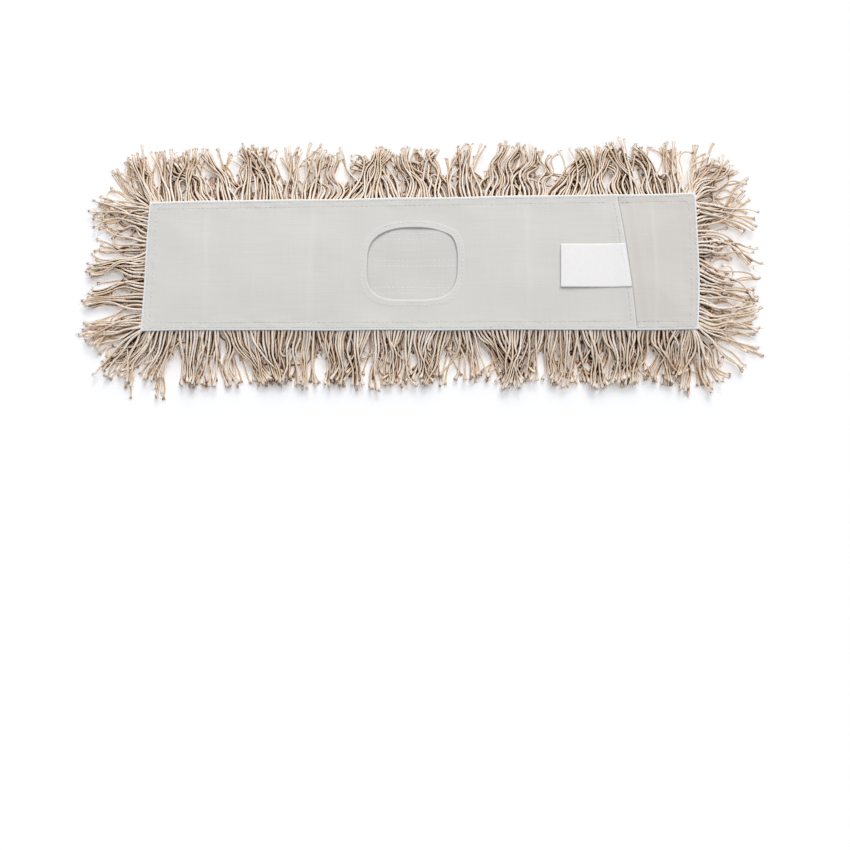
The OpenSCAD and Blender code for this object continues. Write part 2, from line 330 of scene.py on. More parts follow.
def yarn_material(name, dark, light, deepest, open_air):
    """Loosely spun cotton: twisted plies, lint, a shade of its own for each strand, and painted shade,
    browner and darker, in the hollows between strands.
    """
    made, tree, shader = material(name, light, 0.95, 0.0)
    uv = tree.node("TexCoord", "UV")
    along, around = (tree.node("SeparateXYZ", axis, Vector=uv) for axis in "XY")
    turns = tree.total((along, 1 / PLY_TURN), (around, PLIES))
    ply = tree.op("SINE", tree.op("MULTIPLY", turns, math.tau))
    lint, patch = tree.noise(700), tree.noise(55)
    shade = tree.total((tree.tint(), 0.45), (patch, 0.35), (lint, 0.2), (ply, 0.05))
    spun = tree.ramp(shade, dark, light, 0.2, 0.72)
    # Painted shade: ambient occlusion darkens and browns the yarn's colour in the hollows between strands,
    # where shade falls
    hollow_shade = tree.nodes.new("ShaderNodeAmbientOcclusion")
    hollow_shade.samples = 8
    hollow_shade.only_local = True
    hollow_shade.inputs["Distance"].default_value = HOLLOW_REACH
    deep = tree.ramp(hollow_shade.outputs["AO"], CREVICE_SHADE, OPEN, deepest, open_air, FLANK_SHADE)
    tree.feed(shader["Base Color"], tree.mix(1.0, spun, deep, "MULTIPLY"))
    tree.bump(shader, tree.total((ply, 0.5), (lint, 1)), 0.0004, 0.4)
    return made


def thread_material(name, dark, light, hole_shade):
    """Sewing thread with a fine twist, with painted shade where it goes into the cloth, for the shade of the
    stitch holes.
    """
    made, tree, shader = material(name, light, 0.7, 0.1)
    twist = tree.noise(900, detail=1)
    tree.feed(shader["Base Color"], tree.mix(tree.tint(), tree.ramp(twist, dark, light), hole_shade))
    tree.bump(shader, twist, 0.0002, 0.5)
    return made


def label_material():
    """Coated label cloth: smooth, bare, with a fine cross grain."""
    made, tree, shader = material("label_cloth", linear(238, 238, 239), 0.55, 0.0)
    grain = tree.noise(260, (1, 6, 1), 2)
    tree.feed(shader["Base Color"], tree.ramp(grain, linear(233, 233, 235), linear(241, 241, 242)))
    tree.bump(shader, grain, 0.0002, 0.25)
    return made


FLOOR_COLOUR = (0.92, 0.94, 0.975, 1)
FLOOR_GLOW = 0.08


def floor_material():
    """White paper that keeps the shadow, and is clear to the eye and to light from below."""
    made = bpy.data.materials.new("floor_white")
    tree = Tree(made)
    tree.nodes.clear()
    seen, shadow = (tree.node("LightPath", f"Is {ray} Ray") for ray in ("Camera", "Shadow"))
    paper = tree.node("BsdfDiffuse", "BSDF", Color=FLOOR_COLOUR)
    glow = tree.node("Emission", "Emission", Strength=tree.op("MULTIPLY", seen, FLOOR_GLOW))
    clear = tree.op("MAXIMUM", tree.node("NewGeometry", "Backfacing"), shadow)
    white = tree.node("AddShader", "Shader", paper, glow)
    shown = tree.node("MixShader", "Shader", clear, white, tree.node("BsdfTransparent", "BSDF"))
    tree.feed(tree.nodes.new("ShaderNodeOutputMaterial").inputs["Surface"], shown)
    return made


# Canvas pocket

WRINKLE = waves(rng_for(1), 9, 45, 140)
RIPPLE = waves(rng_for(2), 7, 14, 34)
EDGE_WOBBLE = waves(rng_for(3), 5, 60, 180)
PUCKER = waves(rng_for(4), 8, 9, 24)


def beyond_opening(x, y):
    """Distance outside the handle opening's outline, measured from its centre; negative inside."""
    x, y = np.asarray(x) - OPENING_CENTRE[0], np.asarray(y) - OPENING_CENTRE[1]
    rim_x, rim_y = opening_outline(np.arctan2(y, x))
    return np.hypot(x, y) - np.hypot(rim_x - OPENING_CENTRE[0], rim_y - OPENING_CENTRE[1])


def edge_distance(x, y):
    """Distance to the nearest edge of the canvas, with rounded corners."""
    dx, dy = HALF_L - np.abs(x), HALF_W - np.abs(y)
    blend = 4.0
    near = np.minimum(dx, dy)
    return near - np.maximum(0, blend - np.abs(dx - dy)) ** 2 / (4 * blend) * (near > 0)


def crease_ridges(x, y, sway, width):
    """Ridges, 0 to 1, along the creases across the canvas, which sway to and fro."""
    return sum(np.exp(-((x - at - sway * np.sin(y / 31 + at)) / width) ** 2) for at in CREASES)


def cover_height(x, y):
    """Height of the cover's upper side over the floor, at a point of the true rectangle."""
    d = edge_distance(x, y)
    z = HEM_TOP + (CROWN_TOP - HEM_TOP) * smoothstep(2, SLOPE, d)
    for inset in HEM_STITCHES:
        z = z - 0.08 * np.exp(-((d - inset) / 0.8) ** 2) * (1 + 0.5 * RIPPLE(x, y))
    z = z + 0.45 * smoothstep(HEM, HEM + 12, d) * WRINKLE(x, y)
    z = z + 0.16 * PUCKER(x, y) * np.exp(-((d - HEM) / 6) ** 2)
    z = z + 0.4 * smoothstep(HEM, HEM + 20, d) * crease_ridges(x, y, 2.5, 3.2)
    z = z - SAG * smoothstep(46, 0, beyond_opening(x, y))
    return z - 0.5 * smoothstep(1.5, 0, d)


def on_canvas(x, y):
    """Points on the cover, moved to the uneven rectangle."""
    z = cover_height(x, y)
    wide, deep = drift(x, y)
    edge = 0.55 * smoothstep(8, 0, edge_distance(x, y))
    return np.stack([wide + edge * EDGE_WOBBLE(y, 0 * x), deep + edge * EDGE_WOBBLE(x, 0 * y), z], axis=-1)


def opening_outline(angle, grow=0.0):
    """Points of the handle opening's outline: an oval whose corners differ in roundness."""
    c, s = np.cos(angle), np.sin(angle)
    power = 3.0 - 0.55 * s + 0.4 * np.exp(-((angle - 0.6) / 0.2) ** 2)
    size = (np.abs(c / (OPENING_HALF[0] + grow)) ** power + np.abs(s / (OPENING_HALF[1] + grow)) ** power)
    r = size ** (-1 / power)
    return OPENING_CENTRE[0] + r * c, OPENING_CENTRE[1] + r * s


def straight(at):
    """An edge straight across the canvas."""
    return lambda y: np.full_like(y, at)


def panel(name, left, right, lift, thick, fold, cut_opening, cloth, node):
    """A panel of canvas between two edges that may slant, as a closed thin sheet."""
    across = spaced(-HALF_W, HALF_W, 12, 1.0, 3.0)
    share = spaced(0, 1, 0.03, 0.002, 0.0065)
    y = np.repeat(across, len(share))
    low, high = left(y), right(y)
    x = low + np.tile(share, len(across)) * (high - low)
    quads = grid_quads(len(share), len(across))
    top = on_canvas(x, y)
    top[:, 2] += lift(x, y)
    bottom = top - [0, 0, 1] * thick(x, y)[:, None]
    if cut_opening:
        centre = np.stack([x, y], axis=1)[quads].mean(1)
        quads = quads[beyond_opening(centre[:, 0], centre[:, 1]) > RIM / 2]
    # Painted light on the canvas: a painted highlight along the panel's edges and its creases, and the lap's
    # painted highlight or painted shadow that fold gives
    edge = smoothstep(2.0, 1.0, edge_distance(x, y)) + fold(x, y) + 0.11 * crease_ridges(x, y, 1.5, 2.6)
    verts, faces, edge = shell(top, bottom, quads, np.tile(edge, 2))
    piece = add_piece(name, verts, faces, cloth, tint=edge)
    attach(piece, "pocket")
    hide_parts(node)
    return piece


def make_cover(cloth):
    """Main panel, whose right edge is folded over and lies on the end panel."""

    def lift(x, y):
        from_fold = lap_at(y) - x
        return 0.95 * smoothstep(16, 5, from_fold) - 0.7 * smoothstep(1.4, 0, from_fold)

    def thick(x, y):
        return CLOTH * (1 + 0.8 * smoothstep(14, 9, lap_at(y) - x))

    # Painted highlight along the lap's folded edge
    def fold(x, y):
        return 0.3 * smoothstep(2.2, 1.0, lap_at(y) - x)

    cover = panel("pocket_cover_cloth", straight(-HALF_L), lap_at, lift, thick, fold, True, cloth,
                  "pocket_cover")


def make_end_panel(cloth):
    """End panel, which runs on below the main panel's fold."""

    def left(y):
        return lap_at(y) - LAP_UNDER

    def lift(x, y):
        return -1.0 * smoothstep(12, 0, x - lap_at(y) - 4) * smoothstep(0, 12, edge_distance(x, y))

    def thick(x, y):
        return CLOTH + 0 * x

    def shadow(x, y):
        return -0.62 * np.exp(-((x - lap_at(y) - 0.3) / 1.0) ** 2) * smoothstep(1, 6, edge_distance(x, y))

    end = panel("end_panel_cloth", left, straight(HALF_L), lift, thick, shadow, False, cloth, "end_panel")
    (HALF_L - float(left(0.0))) * MM


# Section of the opening's folded hem: distance outwards from the outline, and height over the cover
RIM_SECTION = np.array([
    (-1.3, -1.2), (-1.25, -0.9), (0.0, -0.6), (-0.15, -0.05), (0.5, 0.16), (1.6, 0.2), (3.0, 0.18),
    (4.6, 0.16), (6.4, 0.12), (7.8, 0.04), (8.8, -0.12), (7.4, -0.9), (4.0, -1.3)])
RIM_TURN = 160


def make_rim(cloth):
    """Folded hem of the handle opening, swept round its outline, with a painted highlight on its fold and
    painted shade on its inner lip.
    """
    # Painted light in the tint: a painted highlight on the fold, a faint one over the rest, and painted shade
    # on the three inner lip points
    shade = np.where(RIM_SECTION[:, 0] < 1.2, 0.42, 0.06)
    shade[:3] = -0.12
    angle = np.linspace(0, math.tau, RIM_TURN, endpoint=False)
    rings = []
    for out, up in RIM_SECTION:
        x, y = opening_outline(angle, out)
        ring = on_canvas(x, y)
        ring[:, 2] += up + 0.1 * RIPPLE(x * 2, y * 2) * (up > 0.1)
        rings.append(ring)
    verts = np.stack(rings, axis=1).reshape(-1, 3)
    faces = ring_quads(RIM_TURN, len(RIM_SECTION), closed=True).tolist()
    rim = add_piece("opening_hem", verts, faces, cloth, tint=np.tile(shade, RIM_TURN))
    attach(rim, "pocket")


def base_height(x, y):
    """Height of the base cloth's upper side: low at the seam, where the yarn heads lie on it."""
    d = edge_distance(x, y)
    raised = 0.9 * smoothstep(46, -10, beyond_opening(x, y))
    return BASE_TOP - 3.2 * smoothstep(10, 1, d) + 0.55 * WRINKLE(x * 1.3 + 40, y * 1.3) + raised


def make_base(cloth):
    """Base cloth below the pocket."""
    along = spaced(-HALF_L, HALF_L, 12, 2.0, 4.0)
    across = spaced(-HALF_W, HALF_W, 12, 2.0, 4.0)
    x, y = np.tile(along, len(across)), np.repeat(across, len(along))
    z = base_height(x, y)
    for row in ROW_Y:
        z = z - 0.14 * np.exp(-((np.abs(y - row) - ROW_GAP / 2) / 1.3) ** 2)
    wide, deep = drift(x, y)
    top = np.stack([wide, deep, z], axis=1)
    quads = grid_quads(len(along), len(across))
    verts, faces, plain = shell(top, top - [0, 0, CLOTH], quads, np.zeros(2 * len(top)))
    base = add_piece("base_cloth_sheet", verts, faces, cloth, tint=plain)
    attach(base, "pocket")
    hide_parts("base_cloth")


# Stitches


# A stitch is a bead of thread that swells between its ends: its rings, and points round them
BEAD_RINGS, BEAD_SIDES = 4, 4
BEAD_ALONG = np.linspace(0, 1, BEAD_RINGS)
BEAD_SWELL = np.sqrt(np.clip(1 - (2 * BEAD_ALONG - 1) ** 4, 0.12, 1))
STITCH_DRIFT = 0.12


def stitch_ends(line, pitch, share):
    """First and last points of the stitches along a line of points in plan."""
    step = np.linalg.norm(np.diff(line, axis=0), axis=1)
    run = np.concatenate([[0], np.cumsum(step)])
    count = int(run[-1] / pitch)
    ends = (np.arange(count)[:, None] + [(1 - share) / 2, (1 + share) / 2]) * run[-1] / count

    def at(place):
        return np.stack([np.interp(place, run, line[:, axis]) for axis in range(2)], axis=1)

    return at(ends[:, 0]), at(ends[:, 1])


def bead_points(first, last, surface, width, sunk):
    """Points of the beads of thread between the ends of stitches, which lie on a surface."""
    plan = first[:, None] + (last - first)[:, None] * BEAD_ALONG[None, :, None]
    centre = surface(plan[..., 0], plan[..., 1])
    centre[..., 2] += width * 0.35 * BEAD_SWELL - sunk
    way = (last - first) / np.linalg.norm(last - first, axis=1, keepdims=True)
    side = np.stack([-way[:, 1], way[:, 0], 0 * way[:, 0]], axis=1)[:, None, None]
    phi = np.arange(BEAD_SIDES)[:, None] * math.tau / BEAD_SIDES
    around = np.cos(phi) * side + np.sin(phi) * np.array([0, 0, 1])
    return (centre[:, :, None] + (width / 2 * BEAD_SWELL)[None, :, None, None] * around).reshape(-1, 3)


def bead_faces(count):
    """Faces of so many beads, closed at both ends."""
    turn = np.arange(BEAD_SIDES)
    ends = np.stack([turn[::-1], turn + (BEAD_RINGS - 1) * BEAD_SIDES])
    start = np.arange(count)[:, None, None] * BEAD_RINGS * BEAD_SIDES
    faces = [ring_quads(BEAD_RINGS, BEAD_SIDES)[None] + start, ends[None] + start]
    return np.concatenate([face.reshape(-1, 4) for face in faces]).tolist()


def make_stitches(name, lines, surface, pitch, width, thread, node, seed, share=0.72, sunk=0.12):
    """Sewn stitches as small rounded beads of thread that dip into the cloth at both ends."""
    rng = rng_for(seed)
    verts = []
    for line in lines:
        first, last = stitch_ends(line, pitch, share)
        first = first + rng.normal(0, STITCH_DRIFT, first.shape)
        last = last + rng.normal(0, STITCH_DRIFT, last.shape)
        verts.append(bead_points(first, last, surface, width, sunk))
    verts = np.concatenate(verts)
    count = len(verts) // (BEAD_RINGS * BEAD_SIDES)
    # Painted shade on the end rings of each stitch, where the thread goes into its hole
    at_end = (BEAD_ALONG == 0) | (BEAD_ALONG == 1)
    hole_shade = np.tile(np.repeat(at_end.astype(float), BEAD_SIDES), count)
    piece = add_piece(name, verts, bead_faces(count), thread, tint=hole_shade)
    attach(piece, "pocket")
    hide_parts(node)


def over_cover(lift):
    """A surface that lies so much higher than the cover."""
    return lambda x, y: on_canvas(x, y) + [0, 0, lift]


def on_base(x, y):
    """Points on the base cloth, moved to the uneven rectangle."""
    wide, deep = drift(x, y)
    return np.stack([wide, deep, base_height(x, y) - 0.1], axis=-1)


def make_all_stitches(hem_thread, row_thread):
    """Hem, opening, lap and row stitching."""
    hem = []
    for inset in HEM_STITCHES:
        x, y = HALF_L - inset, HALF_W - inset
        corners = np.array([(-x, -y), (x, -y), (x, y), (-x, y), (-x, -y)])
        hem += [np.linspace(a, b, 60) for a, b in zip(corners[:-1], corners[1:])]
    make_stitches("hem_stitches", hem, on_canvas, 5.6, 0.75, hem_thread, "hem_thread", 11)

    ring = np.stack(opening_outline(np.linspace(0, math.tau, 200), RIM - 1.9), axis=1)
    make_stitches("opening_stitches", [ring], over_cover(0.1), 4.6, 0.7, row_thread, "opening_thread", 12)

    y = np.linspace(-HALF_W + 10, HALF_W - 10, 80)
    lap = np.stack([lap_at(y) - LAP_STITCH / math.cos(LAP_ANGLE), y], axis=1)
    make_stitches("lap_stitches", [lap], over_cover(1.15), 4.8, 0.7, hem_thread, "lap_thread", 13)

    x = np.linspace(-HALF_L + 12, HALF_L - 12, 120)
    rows = [np.stack([x, np.full_like(x, row + side * ROW_GAP / 2)], axis=1)
            for row in ROW_Y for side in (-1, 1)]
    make_stitches("row_stitches", rows, on_base, 5.2, 0.72, row_thread, "row_thread", 14, share=1.0, sunk=0.3)


# Label


LABEL_POINTS = (56, 34)
LABEL_T = 0.3


def make_label(cloth):
    """Blank white label: one sheet, sewn down along the fold and free at its other end."""
    length, width = LABEL_POINTS
    low_y, high_y = LABEL_LOW[1], LABEL_HIGH[1]
    across = np.linspace(low_y, high_y, width)
    y = np.repeat(across, length)
    t = np.tile(np.linspace(0, 1, length), width)
    fold = lap_at(y) - 0.6
    x = LABEL_LOW[0] + t * (fold - LABEL_LOW[0])
    top = on_canvas(x, y)
    free = smoothstep(0.86, 0.0, t)
    curl = 0.35 + 1.5 * free ** 2 + 0.5 * free * np.sin((y - low_y) / (high_y - low_y) * 2.6 + 0.6)
    top[:, 2] = cover_height(x, y) * 0.4 + CROWN_TOP * 0.6 + 1.35 * smoothstep(0.75, 1, t) + curl
    verts, faces, _ = shell(top, top - [0, 0, LABEL_T], grid_quads(length, width), np.zeros(2 * len(top)))
    label = add_piece("blank_label", verts, faces, cloth)
    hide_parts("label_tag", "label_margin")
    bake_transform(label)


# Yarn


# Each cell of a grid with those of its neighbours that come after it
NEXT_CELLS = [(dx, dy, dz) for dx in (0, 1) for dy in (-1, 0, 1) for dz in (-1, 0, 1)
              if (dx, dy, dz) >= (0, 0, 0)]


def near_pairs(points, reach):
    """Index pairs of points that are closer than reach, found on a grid of cells."""
    cell = np.floor(points / reach).astype(np.int64)
    cell -= cell.min(0)
    _, ny, nz = cell.max(0) + 3
    key = (cell[:, 0] * ny + cell[:, 1]) * nz + cell[:, 2]
    order = np.argsort(key, kind="stable")
    key = key[order]
    index = np.arange(len(key))
    found = []
    for dx, dy, dz in NEXT_CELLS:
        shift = (dx * ny + dy) * nz + dz
        start = index + 1 if shift == 0 else np.searchsorted(key, key + shift, "left")
        stop = np.searchsorted(key, key + shift, "right")
        count = np.maximum(stop - start, 0)
        first = np.repeat(index, count)
        second = np.repeat(start, count) + np.arange(count.sum()) - np.repeat(np.cumsum(count) - count, count)
        near = np.linalg.norm(points[order[first]] - points[order[second]], axis=1) < reach
        found.append(np.stack([order[first[near]], order[second[near]]]))
    return np.concatenate(found, axis=1)


def bend_back(p, rest_bend, stiffness, free):
    """Takes strands part of the way back to the bends that they had at first."""
    bend = stiffness * (p[:, :-2] - 2 * p[:, 1:-1] + p[:, 2:] - rest_bend)
    p[:, 1:-1] += 0.5 * bend * free[:, 1:-1]
    p[:, :-2] -= 0.25 * bend * free[:, :-2]
    p[:, 2:] -= 0.25 * bend * free[:, 2:]


def keep_lengths(p, rest, free):
    """Takes the stretches of strands back to their lengths, every other one at a time."""
    for odd in (0, 1):
        i = np.arange(odd, p.shape[1] - 1, 2)
        d = p[:, i + 1] - p[:, i]
        length = np.linalg.norm(d, axis=2, keepdims=True) + TINY
        share = free[:, i] + free[:, i + 1] + TINY
        pull = d * (1 - rest[:, i] / length) / share
        p[:, i] += pull * free[:, i]
        p[:, i + 1] -= pull * free[:, i + 1]


def push_apart(x, a, b, radius, loose):
    """Moves pairs of points apart where their strands run into each other."""
    d = x[b] - x[a]
    gap = np.linalg.norm(d, axis=1) + TINY
    push = np.clip(2 * radius - gap, 0, None) / gap
    hits = np.bincount(a, push > 0, len(x)) + np.bincount(b, push > 0, len(x))
    ease = loose * 0.9 / np.maximum(hits, 1.6)
    for axis in range(3):
        move = d[:, axis] * push * 0.5
        x[:, axis] += ease * (np.bincount(b, move, len(x)) - np.bincount(a, move, len(x)))


# Steps between searches for pairs, and how many points apart on one strand are no pair
PAIRS_EVERY = 4
OWN_NEAR = 4


def settle(paths, radius, steps, fixed, ceiling, weight, stiffness):
    """Lets strands sink, bend, push each other apart and come to lie on the floor, keeping their lengths."""
    n, k, _ = paths.shape
    p = paths.copy()
    x = p.reshape(-1, 3)
    strand, place = np.repeat(np.arange(n), k), np.tile(np.arange(k), n)
    rest = np.linalg.norm(np.diff(p, axis=1), axis=2)[..., None]
    rest_bend = p[:, :-2] - 2 * p[:, 1:-1] + p[:, 2:]
    free = np.ones((n, k, 1))
    free[:, :fixed] = 0
    loose = free.reshape(-1)
    for step in range(steps):
        p[:, :, 2:] -= weight * free
        bend_back(p, rest_bend, stiffness, free)
        for _ in range(2):
            keep_lengths(p, rest, free)
        if step % PAIRS_EVERY == 0:
            a, b = near_pairs(x, 2.9 * radius)
            apart = (strand[a] != strand[b]) | (np.abs(place[a] - place[b]) > OWN_NEAR)
            a, b = a[apart], b[apart]
        push_apart(x, a, b, radius, loose)
        held = np.clip(x[:, 2], radius * 0.9, ceiling)
        x[:, 2] = np.where(loose > 0, held, x[:, 2])
    for _ in range(2):
        p[:, 2:-1] = 0.25 * p[:, 1:-2] + 0.5 * p[:, 2:-1] + 0.25 * p[:, 3:]
    return p


def headings(rng, root, length, base, clump, drawn, wild, points):
    """Plan curves of strands that leave root in direction base, are drawn to their clump, and wander."""
    n = len(root)
    s = np.linspace(0, 1, points)[None]
    clumps = clump.max() + 1

    def shared(draw):
        return draw(clumps)[clump][:, None]

    def own(draw):
        return draw(n)[:, None]

    def normal(spread):
        return lambda count: rng.normal(0, spread, count)

    def uniform(low, high):
        return lambda count: rng.uniform(low, high, count)

    def some(part, draw):
        return lambda count: (rng.random(count) < part) * draw(count)

    wild = np.broadcast_to(wild, n)[:, None]
    angle = base[:, None] + np.radians(wild * shared(normal(9)) + own(normal(5)))
    angle = angle + np.radians(wild * shared(normal(12)) + own(normal(6))) * smoothstep(0.08, 0.7, s)
    for pick, amount in ((shared, 13 * wild), (own, 8)):
        bend = np.sin(math.tau * (pick(uniform(0.9, 2.1)) * s + pick(uniform(0, 1))))
        angle = angle + np.radians(amount * pick(normal(1))) * smoothstep(-0.12, 0.3, s) * bend
    angle = angle + np.radians(own(some(0.14, normal(34)))) * smoothstep(0.05, 0.5, s)
    angle = angle + np.radians(own(some(0.1, normal(110)))) * smoothstep(0.5, 1.05, s)
    angle = angle + np.radians(own(some(0.025, normal(330)))) * smoothstep(0.35, 0.8, s)
    step = (length / (points - 1))[:, None]
    start = np.zeros((n, 1))
    x = root[:, :1] + np.concatenate([start, np.cumsum(np.cos(angle[:, :-1]) * step, axis=1)], axis=1)
    y = root[:, 1:] + np.concatenate([start, np.cumsum(np.sin(angle[:, :-1]) * step, axis=1)], axis=1)
    gather = smoothstep(0.16, 0.66, s)
    return x - gather * drawn[:, :1], y - gather * drawn[:, 1:]


def strand_axes(paths, rng):
    """Directions along strands, up from them and across them, at each of their points."""
    n, k, _ = paths.shape
    way = np.gradient(paths, axis=1)
    way /= np.linalg.norm(way, axis=2, keepdims=True)
    up = np.empty_like(way)
    last = np.tile([0.0, 0.0, 1.0], (n, 1)) + rng.normal(0, 0.05, (n, 3))
    for i in range(k):
        last = last - (last * way[:, i]).sum(1, keepdims=True) * way[:, i]
        last /= np.linalg.norm(last, axis=1, keepdims=True) + TINY
        up[:, i] = last
    return way, up, np.cross(way, up)


def strand_rings(paths, axes, radius, sides, rng, fray):
    """Points round strands that thin out and end flared, flat and ragged; and half their widths."""
    n, k, _ = paths.shape
    way, up, side = axes
    t = np.linspace(0, 1, k)[None]
    lumps = np.sin(t * rng.uniform(15, 30, (n, 1)) + rng.uniform(0, 6, (n, 1)))
    size = radius * rng.uniform(0.86, 1.08, (n, 1)) * (1 + 0.07 * lumps)
    size = size * (1 - 0.26 * smoothstep(0.2, 0.75, t))
    flare = smoothstep(0.85, 1.0, t)
    wide = size * (1 + (fray * rng.uniform(0.5, 1.2, (n, 1))) * flare)
    high = size * (1 - 0.8 * flare)
    phi = np.arange(sides) * math.tau / sides
    ring = paths[:, :, None] + (wide[..., None] * np.cos(phi))[..., None] * side[:, :, None]
    ring = ring + (high[..., None] * np.sin(phi))[..., None] * up[:, :, None]
    ring[:, -1] += way[:, -1][:, None] * rng.uniform(-2.0, 1.6, (n, sides, 1))
    ring[:, -2] += way[:, -2][:, None] * rng.uniform(-0.5, 0.5, (n, sides, 1))
    return ring, wide


def strand_faces(n, k, sides):
    """Quads along n strands of k rings, and the triangles that close both their ends."""
    quad = ring_quads(k, sides)[:, [0, 3, 2, 1]]
    per, tip = k * sides + 2, (k - 1) * sides
    j = np.arange(sides)
    after = (j + 1) % sides
    root_cap = np.stack([np.full(sides, per - 2), j, after], axis=1)
    tip_cap = np.stack([np.full(sides, per - 1), tip + after, tip + j], axis=1)
    start = np.arange(n)[:, None, None] * per
    quads = (quad[None] + start).reshape(-1, 4)
    caps = (np.concatenate([root_cap, tip_cap])[None] + start).reshape(-1, 3)
    return quads.tolist() + caps.tolist()


def strand_uv(paths, sides, rng):
    """UVs of those faces: millimetres along the strand, and turns round it."""
    n, k, _ = paths.shape
    step = np.linalg.norm(np.diff(paths, axis=1), axis=2)
    run = np.concatenate([np.zeros((n, 1)), np.cumsum(step, axis=1)], axis=1) + rng.uniform(0, 50, (n, 1))
    i, j = np.meshgrid(np.arange(k - 1), np.arange(sides), indexing="ij")
    u = run[:, np.stack([i, i + 1, i + 1, i], -1).reshape(-1)]
    v = np.tile(np.stack([j, j, j + 1, j + 1], -1).reshape(-1) / sides, (n, 1))
    caps = np.stack([np.repeat(run[:, -1], 6 * sides), np.zeros(6 * sides * n)], axis=1)
    return np.concatenate([np.stack([u.reshape(-1), v.reshape(-1)], axis=1), caps])


def strand_tint(shade, k, sides):
    """Tints of those points: darker along the strand, and pale again at its frayed end."""
    t = np.linspace(0, 1, k)
    darker = 0.4 * smoothstep(0.25, 0.85, t) - 0.45 * smoothstep(0.86, 0.98, t)
    darker = np.concatenate([np.repeat(darker, sides), [0.0, -0.1]])
    return (shade[:, None] - darker).ravel()


def loose_fibres(paths, axes, wide, rng, fibres):
    """Points and faces of thin three-sided spikes that stand out of each strand's frayed end."""
    way, up, side, tip, half = (np.repeat(value[:, -1], fibres, axis=0) for value in (*axes, paths, wide))
    m = len(tip)
    spread = rng.normal(0, 0.5, (m, 3))
    aim = way + side * spread[:, :1] + up * spread[:, 1:2] * 0.5
    aim /= np.linalg.norm(aim, axis=1, keepdims=True)
    foot = tip - way * rng.uniform(0.5, 4, (m, 1))
    foot = foot + side * (half * rng.uniform(-0.8, 0.8, m))[:, None]
    cross = np.cross(aim, up)
    cross /= np.linalg.norm(cross, axis=1, keepdims=True) + TINY
    other = np.cross(aim, cross)
    thin = rng.uniform(0.16, 0.3, (m, 1))
    corners = [foot + thin * (math.cos(a) * cross + math.sin(a) * other)
               for a in (0, math.tau / 3, 2 * math.tau / 3)]
    point = foot + aim * rng.uniform(3.5, 8, (m, 1))
    point[:, 2] = np.maximum(point[:, 2], 0.3)
    spikes = np.stack([*corners, point], axis=1).reshape(-1, 3)
    spikes[:, 2] = np.maximum(spikes[:, 2], 0.1)
    faces = np.array([(0, 1, 3), (1, 2, 3), (2, 0, 3), (2, 1, 0)])[None] + 4 * np.arange(m)[:, None, None]
    return spikes, faces.reshape(-1, 3)


def tube_mesh(paths, radius, sides, rng, fray, fibres):
    """Points, faces, UVs and tints of strands with ragged, flared ends and loose fibres at their tips."""
    n, k, _ = paths.shape
    axes = strand_axes(paths, rng)
    ring, wide = strand_rings(paths, axes, radius, sides, rng, fray)
    ends = np.stack([paths[:, 0], paths[:, -1]], axis=1)
    verts = np.concatenate([ring.reshape(n, -1, 3), ends], axis=1).reshape(-1, 3)
    verts[:, 2] = np.maximum(verts[:, 2], 0.05)
    uv = strand_uv(paths, sides, rng)
    shade = 0.25 + 0.65 * rng.random(n)
    spikes, spike_faces = loose_fibres(paths, axes, wide, rng, fibres)
    faces = strand_faces(n, k, sides) + (spike_faces + len(verts)).tolist()
    uv = np.concatenate([uv, np.zeros((3 * len(spike_faces), 2))])
    tint = np.concatenate([strand_tint(shade, k, sides), np.repeat(shade + 0.1, 4 * fibres)])
    return np.concatenate([verts, spikes]), faces, uv, tint


FRINGE_POINTS = 26
# Each run of fringe: its direction in degrees, how much farther than the frame's it reaches, how wildly its
# strands wander, how dense they are, the usual length of seam that one clump draws together, how tightly at
# least and at most, and how many strands in five of the lower layers are stubs
Side = namedtuple("Side", "turn farther wild density clump_l loose tight stubs")
SIDES = {
    "front": Side(-90, -4, 1.15, 1.0, 17, 0.05, 0.8, 0),
    "back": Side(90, 4, 1.5, 0.95, 21, 0.1, 0.95, 0),
    "left": Side(180, 2, 1.7, 0.8, 21, 0.5, 1.0, 0),
    "right": Side(0, 6, 1.5, 0.92, 23, 0.7, 1.0, 4),
}
CORNERS = {"front_left": (-1, -1), "front_right": (1, -1), "back_left": (-1, 1), "back_right": (1, 1)}
# Length of seam that each side of a corner leaves to its tuft, and the tuft's strands
TUFT_L = 8.0
TUFT_STRANDS = 36
# Layers of the fringe, from the top: distance between strands, heights at seam and tip, how much shorter
SPACING = (3.9, 5.0, 6.4, 4.8)
ROOT_Z = np.array([17.3, 14.4, 11.6, 9.0])
TIP_Z = np.array([10.5, 7.0, 3.0, 1.6])
SHORTER = np.array([0.0, 2.0, 6.0, 38.0])


def clumps_of(rng, place, half, clump_l):
    """Clump that each strand along a seam belongs to, and its offset from the clump's middle."""
    bounds = [-half]
    while bounds[-1] < half:
        bounds.append(bounds[-1] + rng.uniform(0.5, 1.5) * clump_l)
    bounds = np.array(bounds)
    clump = np.clip(np.searchsorted(bounds, place) - 1, 0, len(bounds) - 2)
    return clump, place - (bounds[clump] + bounds[clump + 1]) / 2


def fringe_places(rng, half, density):
    """Places of strands along a seam, and the layer of each."""
    place, layer = [], []
    for number, spacing in enumerate(SPACING):
        pitch = spacing / density
        row = np.arange(-half + pitch / 2, half, pitch)
        place.append(row + rng.normal(0, 0.09 * pitch, len(row)))
        layer.append(np.full(len(row), number))
    return np.concatenate(place), np.concatenate(layer)


def fringe_lengths(rng, layer, clump, side):
    """Lengths of strands, some of which are stubs."""
    reach = FRINGE_REACH + ROOT_DEPTH - 4 + side.farther - SHORTER[layer]
    spread = rng.normal(0, 3.5, clump.max() + 1)[clump] + rng.normal(0, 3, len(layer))
    number = np.arange(len(layer))
    stub = (layer > 0) & (number % 5 < side.stubs)
    return (reach + np.clip(spread, -14, 7)) * np.where(stub, 0.36 + 0.05 * (number % 7), 1)


